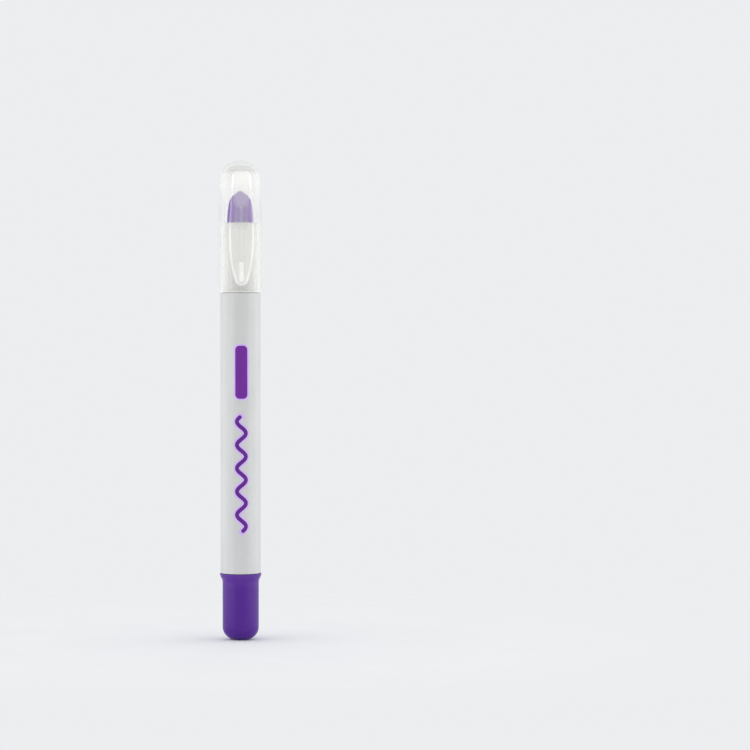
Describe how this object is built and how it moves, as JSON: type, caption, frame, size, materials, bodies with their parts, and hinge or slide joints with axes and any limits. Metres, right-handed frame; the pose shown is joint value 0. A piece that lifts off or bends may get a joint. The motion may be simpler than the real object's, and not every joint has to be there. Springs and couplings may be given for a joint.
{
  "type": "twist crayon",
  "caption": "Twist-up gel crayon: white barrel, clear pull-off cap with pocket clip, and an end knob whose lead screw feeds the pointed coloured stick.",
  "frame": {"origin": "centre of the small flat end of the twist knob", "axes": "+Z along the crayon from the knob to the cap, clip on the -Y side"},
  "size_m": [0.0124, 0.0147, 0.1333],
  "materials": {
    "white_plastic": "smooth white moulding",
    "natural_plastic": "uncoloured milky moulding",
    "coloured_plastic": "smooth purple moulding with a soft gloss",
    "coloured_gel": "waxy purple gel",
    "clear_plastic": "clear moulding, faintly frosted"
  },
  "bodies": {
    "barrel_body": {"barrel": "white_plastic", "nose": "white_plastic", "rear_bush": "natural_plastic", "guide_tube": "natural_plastic"},
    "cap_body": {"cap": "clear_plastic"},
    "knob_body": {"twist_knob": "coloured_plastic", "lead_screw": "natural_plastic"},
    "stick_body": {"gel_stick": "coloured_gel", "plunger": "natural_plastic"}
  },
  "joints": [
    {"name": "cap_pull", "type": "slide", "parent": "barrel_body", "child": "cap_body", "axis": [0, 0, 1], "range_m": [0, 0.04]},
    {"name": "knob_twist", "type": "hinge", "parent": "barrel_body", "child": "knob_body", "pos_m": [0, 0, 0], "axis": [0, 0, 1], "range_deg": [-1261, 721]},
    {"name": "stick_feed", "type": "slide", "parent": "barrel_body", "child": "stick_body", "axis": [0, 0, 1], "range_m": [-0.0105, 0.006]}
  ],
  "couplings": [
    {"joint": "knob_twist", "follows": "stick_feed", "rad_per_m": 2094.4}
  ]
}
